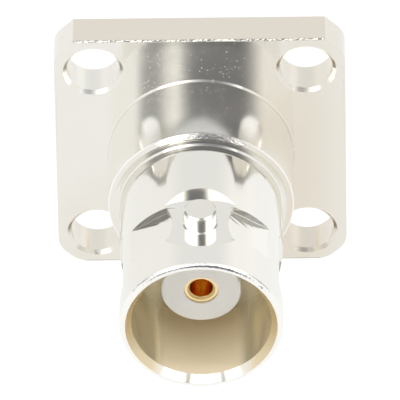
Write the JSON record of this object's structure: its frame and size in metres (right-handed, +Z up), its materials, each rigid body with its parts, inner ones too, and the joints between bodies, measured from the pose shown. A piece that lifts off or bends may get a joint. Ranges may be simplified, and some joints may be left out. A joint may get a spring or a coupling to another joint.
{
  "type": "bnc panel socket",
  "caption": "Square-flange bayonet coaxial panel socket with a plated shell, white insulator and gold centre contact.",
  "frame": {"origin": "on the barrel axis, in the plane of the flange's rear face", "axes": "-Y along the barrel towards the mouth, +Y into the panel, +Z up through one bayonet lug"},
  "size_m": [0.0174, 0.0272, 0.0174],
  "materials": {
    "plating": "polished",
    "ptfe": "matte",
    "gold_plating": "polished"
  },
  "bodies": {
    "root": {"shell": "plating", "front_insulator": "ptfe", "rear_insulator": "ptfe", "centre_contact": "gold_plating"}
  },
  "joints": []
}
